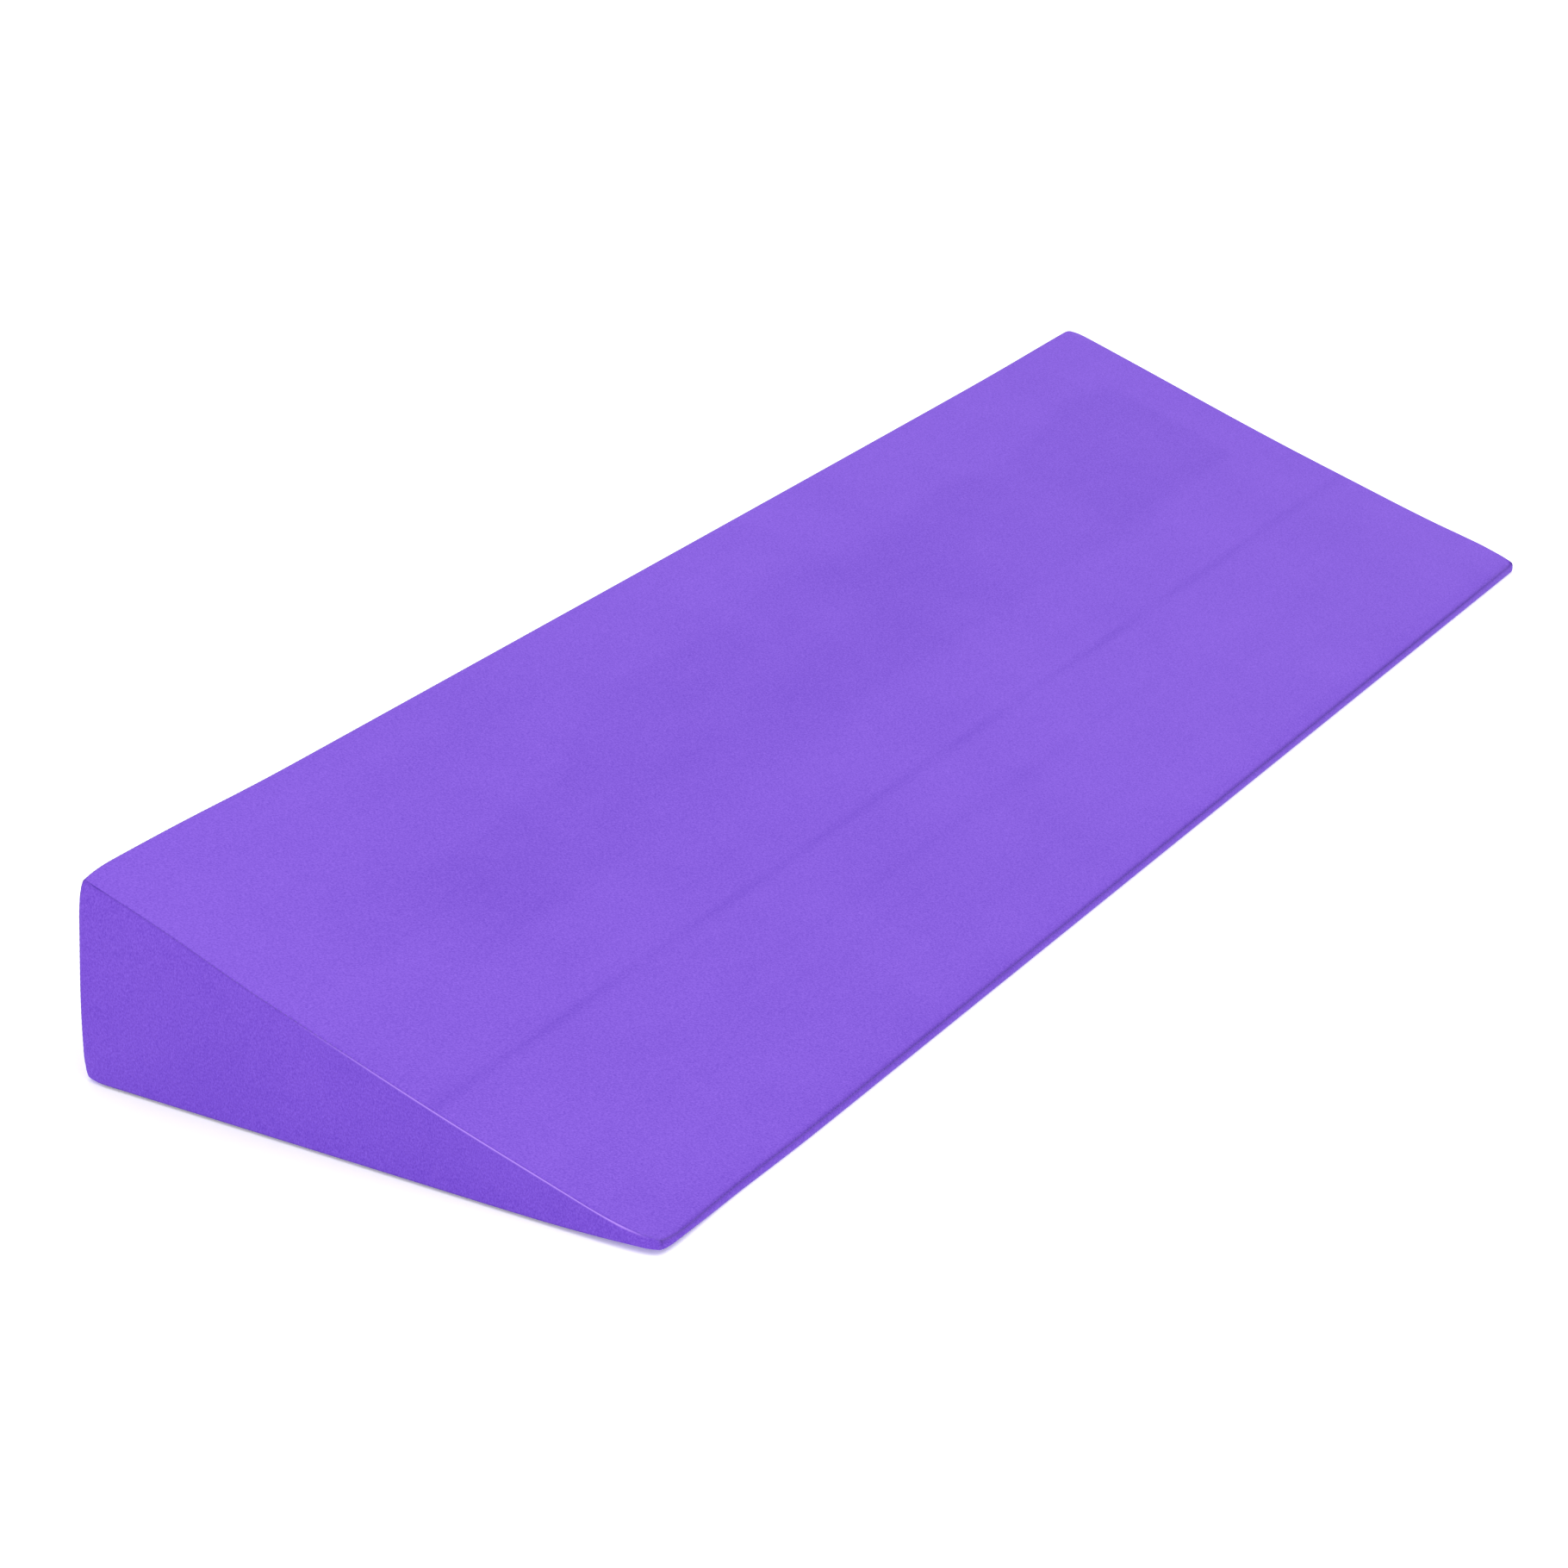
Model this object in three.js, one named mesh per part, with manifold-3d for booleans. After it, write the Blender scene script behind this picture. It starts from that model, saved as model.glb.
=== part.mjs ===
// An incline wedge mat: a firm foam wedge in a sewn suede cover, closed by a zip along its high back face.
// Units are millimetres. +X runs along the mat, +Y from the low nose to the high back, and +Z is up.
// The origin is at the bottom centre of the box around the whole mat, zip slider included.

import * as THREE from "three";
import { mergeVertices } from "three/addons/utils/BufferGeometryUtils.js";
import Module from "manifold-3d";

// Driving dimensions of the mat
const length = 1016;
const depth = 308;
const height = 100;
const noseHeight = 4;
const fabric = 1.2;
const gap = 0.3;

// Room left for the sewn-in seam allowances between the cover and the foam, at the ends, back and nose
const endRoom = 1.8;
const backRoom = 2.8;
const noseRoom = 8;
const threadRadius = 0.4;

// Driving dimensions of the zip, which lies along the middle of the back face
const zipHeight = 50;
const tapeWidth = 15;
const tapeThickness = 0.6;
const slit = 0.7;
const coilWidth = 2.4;
const coilThickness = 2.1;
const windowHalf = 5.8;
const stopLength = 3;
const stopInset = 24;
const stopProud = 0.2;
const stitchInset = 1.8;

// Driving dimensions of the slider and its pull tab
const sliderLength = 12;
const sliderClear = 0.5;
const plateThickness = 1;
const topPlateClear = 0.35;
const bottomPlateClear = 0.4;
const bottomPlateHalf = 4.2;
const wallClear = 0.2;
const channelHalf = 3.6;
const sliderFrontHalf = 5;
const sliderRearHalf = 4.4;
const sliderFrontRounding = 2;
const sliderRearRounding = 1.2;
const postInset = 1;
const postLength = 3.5;
const crownReach = 3.1;
const crownThickness = 1;
const crownWidth = 2;
const crownRounding = 1.2;
const smallRounding = 0.3;
const tabLength = 24;
const tabThickness = 1.1;
const tabGap = 0.5;
const tabNearHalf = 2.7;
const tabFarHalf = 3.6;
const tabRounding = 2.4;
const eyeHalf = 1.6;
const eyeEnd = 4.6;
const eyeRounding = 0.5;
const gripInset = 5;
const gripHalfLength = 2.4;
const gripHalfWidth = 1.3;

// Driving dimensions of the care label
const labelInset = 55;
const labelWidth = 30;
const labelThickness = 0.6;
const labelFoot = 60;
const labelDrop = 4;

// Heights above the back face, counted outwards from its outer skin
const tapeInner = -fabric - gap - tapeThickness;
const coilInner = -fabric;
const coilOuter = coilInner + coilThickness;
const topPlate = coilOuter + topPlateClear;
const bottomPlate = tapeInner - bottomPlateClear;
const crownBase = topPlate + plateThickness;
const tabAxis = crownBase + tabGap + tabThickness / 2;
const crownInner = tabAxis + tabThickness / 2 + tabGap;
const crownOuter = crownInner + crownThickness;

// The back face sits in front of the box's own back by as much as the slider's crown stands proud of it
const nose = -(depth + crownOuter) / 2;
const back = nose + depth;
const halfLength = length / 2;
const slope = Math.atan2(height - noseHeight, depth);
const skinDrop = fabric / Math.cos(slope);
const gapDrop = gap / Math.cos(slope);
const floorLayer = fabric + gap;
const sideLayer = fabric + gap;

const topZ = (y) => noseHeight + (y - nose) * Math.tan(slope);
const undersideZ = (y) => topZ(y) - skinDrop;

const suede = { color: 0x8b62e2, roughness: 0.95, metalness: 0 };
const foam = { color: 0x3a3a3e, roughness: 0.9, metalness: 0 };
const thread = { color: 0x6f4cc4, roughness: 0.7, metalness: 0 };
const tape = { color: 0x2b2540, roughness: 0.85, metalness: 0 };
const coil = { color: 0x1c1a24, roughness: 0.45, metalness: 0 };
const nickel = { color: 0xb9babd, roughness: 0.28, metalness: 1 };
const ribbon = { color: 0xf0eeee, roughness: 0.6, metalness: 0 };

const wasm = await Module();
wasm.setup();

// A piece of the mat: a closed geometry with a name and a finish of its own
function piece(name, geometry, finish) {
  const mesh = new THREE.Mesh(geometry, new THREE.MeshStandardMaterial(finish));
  mesh.name = name;
  return mesh;
}

// A section drawn in (Y, Z) and carried along X from one end to the other
function alongLength(section, from, to) {
  const geometry = new THREE.ExtrudeGeometry(section, {
    depth: to - from,
    bevelEnabled: false,
    curveSegments: 6,
  });
  const turn = new THREE.Matrix4().makeBasis(
    new THREE.Vector3(0, 1, 0),
    new THREE.Vector3(0, 0, 1),
    new THREE.Vector3(1, 0, 0),
  );
  return geometry.applyMatrix4(turn).translate(from, 0, 0);
}

// An outline drawn in (X, Z) and carried through the back face between two heights above its skin
function throughBack(outline, inner, outer) {
  const geometry = new THREE.ExtrudeGeometry(outline, {
    depth: outer - inner,
    bevelEnabled: false,
    curveSegments: 6,
  });
  return geometry.rotateX(Math.PI / 2).translate(0, back + outer, 0);
}

// A block between two corners
function block([x0, y0, z0], [x1, y1, z1]) {
  const geometry = new THREE.BoxGeometry(x1 - x0, y1 - y0, z1 - z0);
  return geometry.translate((x0 + x1) / 2, (y0 + y1) / 2, (z0 + z1) / 2);
}

// A block on the back face: X range, height range above the skin, and Z range
function backBlock([x0, x1], [inner, outer], [z0, z1]) {
  return block([x0, back + inner, z0], [x1, back + outer, z1]);
}

// A straight outline through points, its corners rounded by the radius that each point carries
function roundedOutline(points) {
  const shape = new THREE.Shape();
  points.forEach(([x, y, radius = 0], i) => {
    const corner = new THREE.Vector2(x, y);
    const before = new THREE.Vector2(...points.at(i - 1));
    const after = new THREE.Vector2(...points[(i + 1) % points.length]);
    const start = before.sub(corner).setLength(radius).add(corner);
    const end = after.sub(corner).setLength(radius).add(corner);
    if (i === 0) shape.moveTo(start.x, start.y);
    else shape.lineTo(start.x, start.y);
    if (radius > 0) shape.quadraticCurveTo(corner.x, corner.y, end.x, end.y);
  });
  return shape;
}

// A closed geometry as a solid that can be joined and cut
function solid(geometry) {
  const bare = geometry.clone();
  bare.deleteAttribute("normal");
  bare.deleteAttribute("uv");
  const merged = mergeVertices(bare, 1e-4);
  const mesh = new wasm.Mesh({
    numProp: 3,
    vertProperties: merged.attributes.position.array,
    triVerts: new Uint32Array(merged.index.array),
  });
  return new wasm.Manifold(mesh);
}

function geometryOf(manifold) {
  const { vertProperties, triVerts } = manifold.getMesh();
  const geometry = new THREE.BufferGeometry();
  geometry.setAttribute("position", new THREE.BufferAttribute(vertProperties, 3));
  geometry.setIndex(new THREE.BufferAttribute(triVerts, 1));
  geometry.computeVertexNormals();
  return geometry;
}

// The foam core: one wedge cut from a firm foam block, its edges eased
function foamCore() {
  const front = nose + noseRoom;
  const rear = back - fabric - backRoom;
  const foamTop = (y) => undersideZ(y) - gapDrop;
  const section = roundedOutline([
    [front, floorLayer, 1],
    [rear, floorLayer, 4],
    [rear, foamTop(rear), 4],
    [front, foamTop(front), 1],
  ]);
  const end = halfLength - fabric - endRoom;
  return piece("foam_core", alongLength(section, -end, end), foam);
}

// The sloped top panel, from the nose seam to the top of the back
function topPanel() {
  const section = roundedOutline([
    [nose, undersideZ(nose)],
    [back, undersideZ(back)],
    [back, topZ(back)],
    [nose, topZ(nose), 0.6],
  ]);
  return piece("top_panel", alongLength(section, -halfLength, halfLength), suede);
}

// The bottom panel, flat on the floor and turned up round the nose to meet the top panel there
function bottomPanel() {
  const lipTop = undersideZ(nose) - gap;
  const section = roundedOutline([
    [nose, 0, 1.6],
    [back, 0, 0.6],
    [back, fabric],
    [nose + fabric, fabric],
    [nose + fabric, lipTop],
    [nose, lipTop],
  ]);
  return piece("bottom_panel", alongLength(section, -halfLength, halfLength), suede);
}

// A triangular end panel, set between the top and bottom panels
function endPanel(name, side) {
  const front = nose + sideLayer;
  const section = roundedOutline([
    [front, floorLayer],
    [back, floorLayer],
    [back, undersideZ(back) - gapDrop],
    [front, undersideZ(front) - gapDrop],
  ]);
  const outer = side * halfLength;
  const inner = side * (halfLength - fabric);
  return piece(name, alongLength(section, Math.min(inner, outer), Math.max(inner, outer)), suede);
}

// The back face is two strips, one on each side of the zip's window
function backStrips() {
  const end = halfLength - sideLayer;
  const top = undersideZ(back - fabric) - gapDrop;
  const ends = [-end, end];
  const skin = [-fabric, 0];
  return [
    piece("back_panel_upper", backBlock(ends, skin, [zipHeight + windowHalf, top]), suede),
    piece("back_panel_lower", backBlock(ends, skin, [floorLayer, zipHeight - windowHalf]), suede),
  ];
}

// One straight run of seam thread between two points
function threadRun(name, from, to) {
  const start = new THREE.Vector3(...from);
  const run = new THREE.Vector3(...to).sub(start);
  const geometry = new THREE.CylinderGeometry(threadRadius, threadRadius, run.length(), 8);
  const mesh = piece(name, geometry, thread);
  mesh.position.copy(start).addScaledVector(run, 0.5);
  mesh.quaternion.setFromUnitVectors(new THREE.Vector3(0, 1, 0), run.clone().normalize());
  return mesh;
}

// The seam threads lie in the inner corners where two panels are sewn together.
// Each seam's corner is worked out once: side seams stop short of the runs they would cross.
function seamThreads() {
  const inset = gap + threadRadius;
  const clear = 2 * threadRadius + gap;
  const x = halfLength - fabric - inset;
  const backY = back - fabric - inset;
  const noseY = nose + fabric + inset;
  const low = floorLayer + threadRadius;
  const high = (y) => undersideZ(y) - inset / Math.cos(slope);
  const inner = x - clear;
  const noseThreadZ = (fabric + undersideZ(noseY)) / 2;
  const runs = [
    threadRun("nose_seam_thread", [-x, noseY, noseThreadZ], [x, noseY, noseThreadZ]),
    threadRun("top_back_seam_thread", [-inner, backY, high(backY)], [inner, backY, high(backY)]),
    threadRun("bottom_back_seam_thread", [-inner, backY, low], [inner, backY, low]),
  ];
  const frontY = nose + noseRoom;
  const rearY = backY - clear;
  for (const [side, way] of [["left", -1], ["right", 1]]) {
    const at = way * x;
    runs.push(
      threadRun(`top_${side}_seam_thread`, [at, frontY, high(frontY)], [at, rearY, high(rearY)]),
      threadRun(`bottom_${side}_seam_thread`, [at, frontY, low], [at, rearY, low]),
      threadRun(`back_${side}_seam_thread`, [at, backY, low], [at, backY, high(backY)]),
    );
  }
  return runs;
}

// The zip: two woven tapes, each with a nylon coil on it, held by stops at the ends
function zipChain() {
  const tapeEnd = halfLength - fabric - endRoom - gap;
  const stopX = halfLength - stopInset;
  const coilEnd = stopX - stopLength - gap;
  const pieces = [];
  for (const [side, way] of [["upper", 1], ["lower", -1]]) {
    const across = (near, far) => [zipHeight + way * near, zipHeight + way * far].sort((a, b) => a - b);
    const tapeAt = [tapeInner, tapeInner + tapeThickness];
    pieces.push(
      piece(`zip_tape_${side}`, backBlock([-tapeEnd, tapeEnd], tapeAt, across(slit, tapeWidth)), tape),
    );

    const [low, high] = across(slit, slit + coilWidth);
    const [inner, outer] = [back + coilInner, back + coilOuter];
    const section = roundedOutline([
      [inner, low, 0.4],
      [outer, low, 0.8],
      [outer, high, 0.8],
      [inner, high, 0.4],
    ]);
    pieces.push(piece(`zip_coil_${side}`, alongLength(section, -coilEnd, coilEnd), coil));

    const stopAt = [-stopX, -stopX + stopLength];
    const stopDepth = [coilInner, coilOuter + stopProud];
    pieces.push(
      piece(`zip_top_stop_${side}`, backBlock(stopAt, stopDepth, across(slit, slit + coilWidth)), nickel),
    );

    const rowZ = zipHeight + way * (windowHalf + stitchInset);
    const rowY = back + gap + threadRadius;
    pieces.push(threadRun(`zip_stitching_${side}`, [-tapeEnd, rowY, rowZ], [tapeEnd, rowY, rowZ]));
  }
  const bottomStop = backBlock(
    [stopX - stopLength, stopX],
    [coilInner, coilOuter + stopProud],
    [zipHeight - slit - coilWidth, zipHeight + slit + coilWidth],
  );
  pieces.push(piece("zip_bottom_stop", bottomStop, nickel));
  return pieces;
}

// The slider at its closed end: two plates joined by a thin post between the coils,
// side walls round the coils, and a crown over the top plate that holds the pull tab
function zipSlider(middle) {
  const front = middle - sliderLength / 2;
  const rear = middle + sliderLength / 2;
  const plate = (frontHalf, rearHalf) =>
    roundedOutline([
      [front, zipHeight - frontHalf, sliderFrontRounding],
      [rear, zipHeight - rearHalf, sliderRearRounding],
      [rear, zipHeight + rearHalf, sliderRearRounding],
      [front, zipHeight + frontHalf, sliderFrontRounding],
    ]);
  const overlap = plateThickness / 2;
  const wallDepth = [coilInner + wallClear, topPlate + overlap];
  const channel = backBlock(
    [front - 1, rear + 1],
    [wallDepth[0] - 1, wallDepth[1] + 1],
    [zipHeight - channelHalf, zipHeight + channelHalf],
  );
  const walls = solid(throughBack(plate(sliderFrontHalf, sliderRearHalf), ...wallDepth));
  const post = backBlock(
    [front + postInset, front + postInset + postLength],
    [bottomPlate - overlap, topPlate + overlap],
    [zipHeight - slit / 2, zipHeight + slit / 2],
  );

  const crownFoot = back + crownBase - overlap;
  const crownHollow = crownReach - crownThickness;
  const arch = roundedOutline([
    [middle - crownReach, crownFoot],
    [middle - crownReach, back + crownOuter, crownRounding],
    [middle + crownReach, back + crownOuter, crownRounding],
    [middle + crownReach, crownFoot],
    [middle + crownHollow, crownFoot],
    [middle + crownHollow, back + crownInner, smallRounding],
    [middle - crownHollow, back + crownInner, smallRounding],
    [middle - crownHollow, crownFoot],
  ].reverse());
  const crown = new THREE.ExtrudeGeometry(arch, { depth: crownWidth, bevelEnabled: false, curveSegments: 6 });
  crown.translate(0, 0, zipHeight - crownWidth / 2);

  const body = walls
    .subtract(solid(channel))
    .add(solid(throughBack(plate(sliderFrontHalf, sliderRearHalf), topPlate, crownBase)))
    .add(solid(throughBack(plate(bottomPlateHalf, bottomPlateHalf), bottomPlate - plateThickness, bottomPlate)))
    .add(solid(post))
    .add(solid(crown));
  return piece("zip_slider", geometryOf(body), nickel);
}

// The pull tab: a flat tab whose eye goes round the crown, with its cross bar under the crown.
// It lies along the closed chain and turns about the cross bar.
function zipPullTab(middle) {
  const bar = tabThickness / 2;
  const outline = roundedOutline([
    [middle - bar, zipHeight - tabNearHalf, smallRounding],
    [middle + tabLength, zipHeight - tabFarHalf, tabRounding],
    [middle + tabLength, zipHeight + tabFarHalf, tabRounding],
    [middle - bar, zipHeight + tabNearHalf, smallRounding],
  ]);
  const eye = roundedOutline([
    [middle + bar, zipHeight - eyeHalf, smallRounding],
    [middle + eyeEnd, zipHeight - eyeHalf, eyeRounding],
    [middle + eyeEnd, zipHeight + eyeHalf, eyeRounding],
    [middle + bar, zipHeight + eyeHalf, smallRounding],
  ]);
  const grip = new THREE.Path();
  grip.absellipse(middle + tabLength - gripInset, zipHeight, gripHalfLength, gripHalfWidth, 0, 2 * Math.PI, false);
  outline.holes.push(eye, grip);
  return piece("zip_pull_tab", throughBack(outline, tabAxis - bar, tabAxis + bar), nickel);
}

// A blank ribbon label caught in the seam at the top of the back, hanging down near the right end
function careLabel() {
  const right = halfLength - labelInset;
  const standing = [gap, gap + labelThickness];
  const geometry = backBlock([right - labelWidth, right], standing, [labelFoot, height - labelDrop]);
  return piece("care_label", geometry, ribbon);
}

// The closed slider stands just behind the top stops
const closedAt = -halfLength + stopInset + stopLength + sliderClear + sliderLength / 2;

const mat = new THREE.Group();
mat.add(
  foamCore(),
  topPanel(),
  bottomPanel(),
  endPanel("left_end_panel", -1),
  endPanel("right_end_panel", 1),
  ...backStrips(),
  ...seamThreads(),
  ...zipChain(),
  zipSlider(closedAt),
  zipPullTab(closedAt),
  careLabel(),
);

export default mat;
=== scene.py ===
import math

import bmesh
import bpy
import numpy as np
from mathutils import Matrix, Vector


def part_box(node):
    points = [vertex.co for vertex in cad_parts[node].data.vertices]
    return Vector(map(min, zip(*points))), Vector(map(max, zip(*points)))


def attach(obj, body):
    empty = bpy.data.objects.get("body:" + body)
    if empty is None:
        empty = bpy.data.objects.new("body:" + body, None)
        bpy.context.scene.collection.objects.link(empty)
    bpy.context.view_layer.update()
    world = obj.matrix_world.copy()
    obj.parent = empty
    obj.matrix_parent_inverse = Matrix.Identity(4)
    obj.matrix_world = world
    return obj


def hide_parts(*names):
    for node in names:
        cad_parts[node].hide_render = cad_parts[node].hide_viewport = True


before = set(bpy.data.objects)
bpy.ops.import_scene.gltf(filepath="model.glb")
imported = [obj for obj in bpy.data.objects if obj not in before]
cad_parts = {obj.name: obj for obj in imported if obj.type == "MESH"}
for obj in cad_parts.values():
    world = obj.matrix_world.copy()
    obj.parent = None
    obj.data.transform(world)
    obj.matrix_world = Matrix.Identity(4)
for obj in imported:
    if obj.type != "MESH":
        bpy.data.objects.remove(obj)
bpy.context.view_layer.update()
MM = 0.001


# ----------------------------------------
# Foam core
# One wedge sawn from a block of firm foam, with its edges eased so that the cover slides on.
# It carries the load and gives the mat its flat faces; the cover is pulled tight over it.
# ----------------------------------------

class Wire:
    """One output of a shader node. Arithmetic on wires adds Math nodes, and node() adds any other."""

    def __init__(self, tree, out=None):
        self.tree = tree
        self.out = out

    def node(self, kind, settings=None, inputs=None, output=0):
        """Adds a node of this kind: its settings first, then the value or the wire of each socket."""
        made = self.tree.nodes.new("ShaderNode" + kind)
        for name, value in (settings or {}).items():
            setattr(made, name, value)
        for name, value in (inputs or {}).items():
            if isinstance(value, Wire):
                self.tree.links.new(value.out, made.inputs[name])
            else:
                made.inputs[name].default_value = value
        return Wire(self.tree, made.outputs[output])

    def reckon(self, operation, first, second):
        return self.node("Math", {"operation": operation}, {0: first, 1: second})

    def __add__(self, other):
        return self.reckon("ADD", self, other)

    def __radd__(self, other):
        return self.reckon("ADD", other, self)

    def __sub__(self, other):
        return self.reckon("SUBTRACT", self, other)

    def __rsub__(self, other):
        return self.reckon("SUBTRACT", other, self)

    def __mul__(self, other):
        return self.reckon("MULTIPLY", self, other)

    def __rmul__(self, other):
        return self.reckon("MULTIPLY", other, self)


def mixed(factor, first, second, mode="MIX"):
    """A colour that runs from first to second as factor goes from 0 to 1."""
    settings = {"data_type": "RGBA", "blend_type": mode, "clamp_factor": True}
    factor_in, first_in, second_in, colour_out = 0, 6, 7, 2
    return factor.node("Mix", settings, {factor_in: factor, first_in: first, second_in: second}, colour_out)


def clouds(place, size, detail=2.0, roughness=0.5):
    """Cloudy noise from 0 to 1 whose blotches are about size metres across."""
    inputs = {"Vector": place, "Scale": 1 / size, "Detail": detail, "Roughness": roughness}
    return place.node("TexNoise", {}, inputs)


def drawn_out(place, stretch, turn=(0, 0, 0)):
    """The place turned, then stretched along its axes, so that a pattern read there runs in streaks."""
    inputs = {"Vector": place, "Scale": stretch, "Rotation": turn}
    return place.node("Mapping", {"vector_type": "TEXTURE"}, inputs)


def raised(height, distance, strength=1.0):
    """The surface's normal, tilted by a height from 0 to 1 that stands for distance metres."""
    return height.node("Bump", {}, {"Height": height, "Distance": distance, "Strength": strength})


def new_finish(name):
    """A blank material's tree, with the place on the piece, in metres, that its patterns read."""
    material = bpy.data.materials.new(name)
    material.use_nodes = True
    return Wire(material.node_tree).node("TexCoord", output="Object")


def finished(place, name, colour, roughness, normal, constants):
    """Wires what varies into the shader, and sets what is the same all over on its own sockets."""
    shader = place.tree.nodes["Principled BSDF"]
    for socket, value in constants.items():
        shader.inputs[socket].default_value = value
    for socket, wire in (("Base Color", colour), ("Roughness", roughness), ("Normal", normal)):
        place.tree.links.new(wire.out, shader.inputs[socket])
    return bpy.data.materials[name]


def foam_finish():
    """Charcoal firm foam: fine open cells as bump, and a faint clouding."""
    place = new_finish("firm_foam")
    cells = place.node("TexVoronoi", {}, {"Vector": place, "Scale": 1 / (0.9 * MM)})
    clouding = clouds(place, 60 * MM, 3.0)
    colour = mixed(clouding, (0.030, 0.030, 0.034, 1), (0.050, 0.050, 0.055, 1))
    roughness, normal = 0.85 + clouding * 0.1, raised(cells, 0.3 * MM)
    return finished(place, "firm_foam", colour, roughness, normal, {"Specular IOR Level": 0.25})


def put_mesh(name, points, quads, triangles, material):
    """A smooth closed mesh at the origin. Its faces are turned round if its volume comes out negative."""
    points = np.asarray(points, float).reshape(-1, 3)
    quads = np.asarray(quads, int).reshape(-1, 4)
    triangles = np.asarray(triangles, int).reshape(-1, 3)
    halves = np.concatenate([quads[:, [0, 1, 2]], quads[:, [0, 2, 3]], triangles])
    a, b, c = (points[halves[:, k]] for k in range(3))
    if (a * np.cross(b, c)).sum() < 0:
        quads = quads[:, ::-1]
        triangles = triangles[:, ::-1]
    corners = np.concatenate([quads.ravel(), triangles.ravel()]).astype(np.int32)
    starts = np.concatenate([4 * np.arange(len(quads)), quads.size + 3 * np.arange(len(triangles))])
    mesh = bpy.data.meshes.new(name)
    mesh.vertices.add(len(points))
    mesh.vertices.foreach_set("co", points.ravel().astype(np.float32))
    mesh.loops.add(len(corners))
    mesh.loops.foreach_set("vertex_index", corners)
    mesh.polygons.add(len(starts))
    mesh.polygons.foreach_set("loop_start", starts.astype(np.int32))
    mesh.polygons.foreach_set("use_smooth", np.ones(len(starts), bool))
    mesh.update(calc_edges=True)
    mesh.materials.append(material)
    piece = bpy.data.objects.new(name, mesh)
    bpy.context.scene.collection.objects.link(piece)
    return piece


def ring_faces(stations, around):
    """Quads between rings of points, one ring for each station, and the triangles that close both ends
    to a pole. The two poles are the points after the last ring."""
    ring = np.arange(stations - 1)[:, None] * around
    at = np.arange(around)[None, :]
    after = (at + 1) % around
    quads = np.stack([ring + at, ring + after, ring + around + after, ring + around + at], -1)
    first_pole, last_pole = stations * around, stations * around + 1
    last = (stations - 1) * around
    one, two = np.arange(around), (np.arange(around) + 1) % around
    triangles = np.concatenate(
        [
            np.stack([two, one, np.full(around, first_pole)], -1),
            np.stack([last + one, last + two, np.full(around, last_pole)], -1),
        ]
    )
    return quads.reshape(-1, 4), triangles


def rounded_outline(corners, radii, steps=6):
    """A closed outline: each corner is a quadratic curve that starts and ends its radius away."""
    corners = np.asarray(corners, float)
    radii = np.asarray(radii, float)[:, None]
    before = np.roll(corners, 1, axis=0) - corners
    after = np.roll(corners, -1, axis=0) - corners
    start = corners + radii * before / np.linalg.norm(before, axis=1, keepdims=True)
    end = corners + radii * after / np.linalg.norm(after, axis=1, keepdims=True)
    t = np.linspace(0, 1, steps)[None, :, None]
    curve = start[:, None] * (1 - t) ** 2 + corners[:, None] * 2 * t * (1 - t) + end[:, None] * t**2
    return curve.reshape(-1, 2)


def wedge_outline(low, high, slack, cut_back):
    """The outline of the core's section: the space in the cover, less a little slack. Its thin tip is
    cut back, and its edges are eased."""
    tan_slope = math.tan(slope)
    front, back = low.y + cut_back, high.y - slack
    back_top = high.z - slack
    front_top = back_top - (back - front) * tan_slope
    tip, foot, crest_edge, tip_top = 1.5 * MM, 8 * MM, 12 * MM, 2 * MM
    corners = [(front, low.z), (back, low.z), (back, back_top), (front, front_top)]
    return rounded_outline(corners, [tip, foot, crest_edge, tip_top])


def foam_wedge(low, high, slack=2 * MM, cut_back=8 * MM, ease=14 * MM):
    """The wedge outline carried along X. Near both ends it shrinks about its middle, by a quarter
    circle, so that the end faces meet the others in an eased edge. Smaller outlines fill the faces."""
    outline = wedge_outline(low, high, slack, cut_back)
    middle = outline.mean(axis=0)
    turn = np.linspace(0, math.pi / 2, 8)
    face = np.array([0.3, 0.6, 0.83])
    end_size = 0.88
    rim = end_size + (1 - end_size) * np.sin(turn)
    inset = slack + np.concatenate([0 * face, ease * (1 - np.cos(turn))])
    plain = np.linspace(low.x, high.x, 40)[1:-1]
    along = np.concatenate([low.x + inset, plain, (high.x - inset)[::-1]])
    size = np.concatenate([face, rim, np.ones(plain.size), rim[::-1], face[::-1]])
    section = middle + (outline - middle) * size[:, None, None]
    x = np.broadcast_to(along[:, None, None], (*section.shape[:2], 1))
    rings = np.concatenate([x, section], -1)
    poles = [(low.x + slack, *middle), (high.x - slack, *middle)]
    return np.concatenate([rings.reshape(-1, 3), poles]), *ring_faces(*section.shape[:2])


# The slope starts at the nose, one slanting thickness of cloth above the top panel's underside
top_low, top_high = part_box("top_panel")
strip_low, strip_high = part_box("back_panel_upper")
fabric = strip_high.y - strip_low.y
steepest = math.atan2(top_high.z - top_low.z, top_high.y - top_low.y)
nose_top = top_low.z + fabric / math.cos(steepest)
slope = math.atan2(top_high.z - nose_top, top_high.y - top_low.y)

foam_core = put_mesh("foam_wedge", *foam_wedge(*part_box("foam_core")), foam_finish())
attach(foam_core, "cover")
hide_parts("foam_core")


# ----------------------------------------
# Suede cover: how its seams lie
# The cover is cut from purple microfibre suede and sewn inside out, then turned. The seams follow
# the foam's edges, but they are drawn in at each corner, where three of them meet in a hard knot.
# ----------------------------------------

left, right = top_low.x, top_high.x
nose, back = top_low.y, top_high.y
crest = top_high.z
slope_length = math.hypot(crest - nose_top, back - nose)
mat_length = right - left
mat_depth = back - nose

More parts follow.
